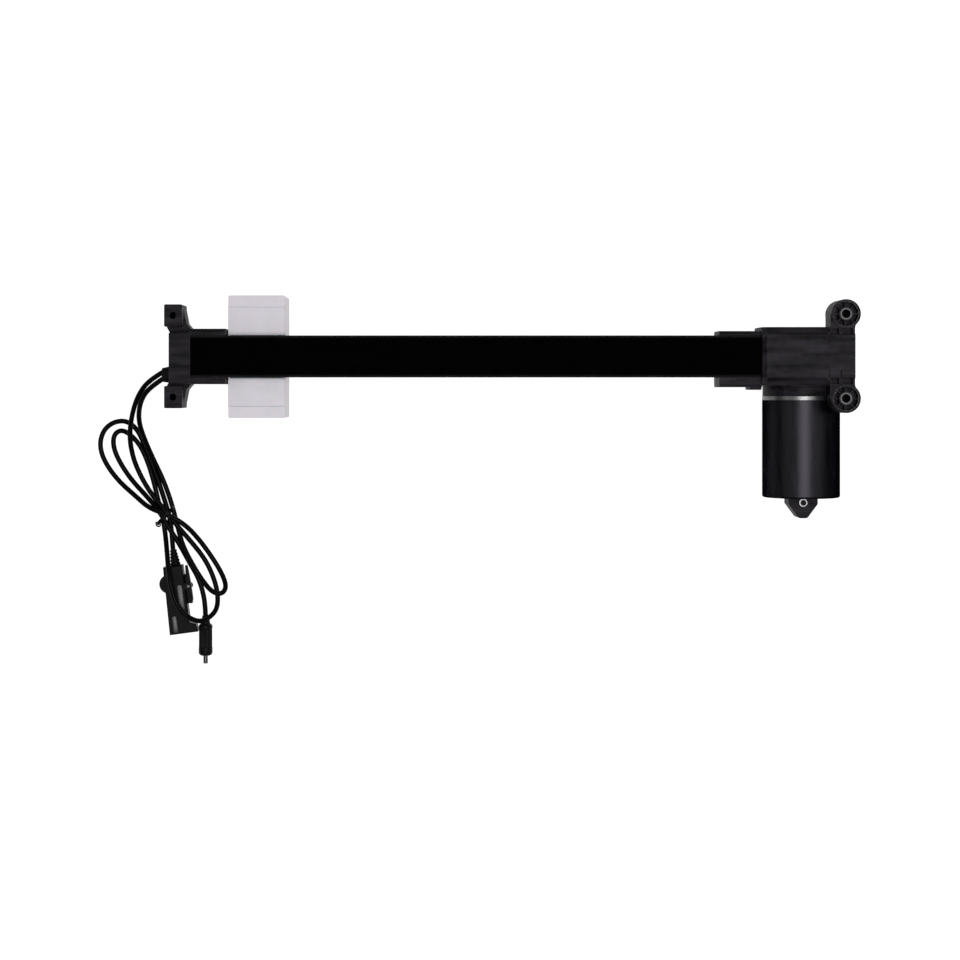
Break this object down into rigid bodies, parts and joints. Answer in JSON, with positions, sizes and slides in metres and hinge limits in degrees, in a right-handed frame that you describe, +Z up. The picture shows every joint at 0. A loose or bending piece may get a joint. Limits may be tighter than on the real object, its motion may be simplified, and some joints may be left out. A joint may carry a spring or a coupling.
{
  "type": "linear actuator",
  "caption": "Recliner linear actuator: a geared motor turns a lead screw in a guide rail that drives a wide carriage, with two cords.",
  "frame": {"origin": "on the lead screw axis, midway between the two rear mounting bosses", "axes": "+X along the rail from the front bracket to the gearbox, +Y square to the rail across the two bosses and away from the motor, +Z up through the flat face of the rail; the actuator lies on its back"},
  "size_m": [0.581, 0.2852, 0.0755],
  "materials": {
    "rail_paint": "deep black powder coat, nearly smooth",
    "black_moulding": "black glass-filled nylon, fine moulded grain",
    "zinc_steel": "zinc-plated steel screws",
    "bare_steel": "turned steel, lightly oiled",
    "bearing_steel": "ground bearing steel",
    "white_acetal": "natural acetal",
    "carriage_acetal": "milky white acetal, satin",
    "core_steel": "stacked and varnished laminations",
    "copper": "enamelled copper",
    "zinc_plate": "bright zinc plate",
    "bronze": "sintered bronze",
    "motor_paint": "satin black paint on drawn steel",
    "ferrite": "dark grey sintered ferrite",
    "card_laminate": "brown laminate",
    "carbon": "pressed carbon",
    "switch_moulding": "black thermoset",
    "wire_sheath": "soft insulated wire",
    "cord_sheath": "black PVC cord sheath, satin",
    "cord_rubber": "black moulded PVC",
    "connector_moulding": "black nylon connector",
    "brass_contact": "tinned brass contacts",
    "nickel_plug": "nickel-plated plug tip"
  },
  "bodies": {
    "root": {"bearing_balls": "bearing_steel", "bearing_outer_race": "bearing_steel", "boss_sleeves": "bare_steel", "brush_card": "card_laminate", "brush_springs": "zinc_steel", "brushes": "carbon", "cable_gland": "cord_rubber", "cable_tie": "cord_sheath", "connector_body": "connector_moulding", "connector_contacts": "brass_contact", "connector_relief": "cord_rubber", "control_cord": "cord_sheath", "front_bracket": "black_moulding", "front_bush": "bronze", "gearbox_front_shell": "black_moulding", "gearbox_rear_cover": "black_moulding", "gearbox_screws": "zinc_steel", "guide_rail": "rail_paint", "latch_pin": "core_steel", "limit_switch_front": "switch_moulding", "limit_switch_rear": "switch_moulding", "motor_can": "motor_paint", "motor_flange_plate": "zinc_plate", "motor_front_bush": "bronze", "motor_magnets": "ferrite", "motor_rear_bush": "bronze", "motor_screws": "zinc_steel", "motor_tail_cap": "black_moulding", "plug_body": "cord_rubber", "plug_relief": "cord_rubber", "plug_tip": "nickel_plug", "power_cord": "cord_sheath", "rail_wires": "wire_sheath", "tail_clip": "zinc_plate", "worm_end_bush": "bronze"},
    "screw": {"lead_screw": "bare_steel", "worm_wheel": "white_acetal", "bearing_inner_race": "bearing_steel", "retaining_nut": "zinc_steel"},
    "carriage": {"carriage_block": "carriage_acetal", "spindle_nut": "white_acetal", "nut_screws": "zinc_steel"},
    "armature": {"motor_shaft": "bare_steel", "worm": "bare_steel", "armature_core": "core_steel", "armature_windings": "copper", "commutator": "copper"},
    "latch": {"latch_lever": "connector_moulding"},
    "front_plunger": {"switch_plunger_front": "white_acetal"},
    "rear_plunger": {"switch_plunger_rear": "white_acetal"}
  },
  "joints": [
    {"name": "armature_spin", "type": "hinge", "parent": "root", "child": "armature", "pos_m": [-0.0253, 0, -0.024], "axis": [0, 1, 0], "range_deg": [0, 378000]},
    {"name": "screw_spin", "type": "hinge", "parent": "root", "child": "screw", "pos_m": [0, 0, 0], "axis": [1, 0, 0], "range_deg": [-13520, 20]},
    {"name": "carriage_slide", "type": "slide", "parent": "root", "child": "carriage", "axis": [1, 0, 0], "range_m": [-0.0001, 0.3001]},
    {"name": "latch_press", "type": "hinge", "parent": "root", "child": "latch", "pos_m": [-0.49833, -0.17794, -0.048], "axis": [0, 0, 1], "range_deg": [0, 6], "stiffness_Nm_per_rad": 0.05},
    {"name": "front_plunger_press", "type": "slide", "parent": "root", "child": "front_plunger", "axis": [-1, 0, 0], "range_m": [0, 0.001], "stiffness_N_per_m": 300},
    {"name": "rear_plunger_press", "type": "slide", "parent": "root", "child": "rear_plunger", "axis": [1, 0, 0], "range_m": [0, 0.001], "stiffness_N_per_m": 300}
  ],
  "couplings": [
    {"joint": "screw_spin", "follows": "armature_spin", "ratio": -0.035714},
    {"joint": "carriage_slide", "follows": "armature_spin", "m_per_rad": 0.000045473}
  ]
}
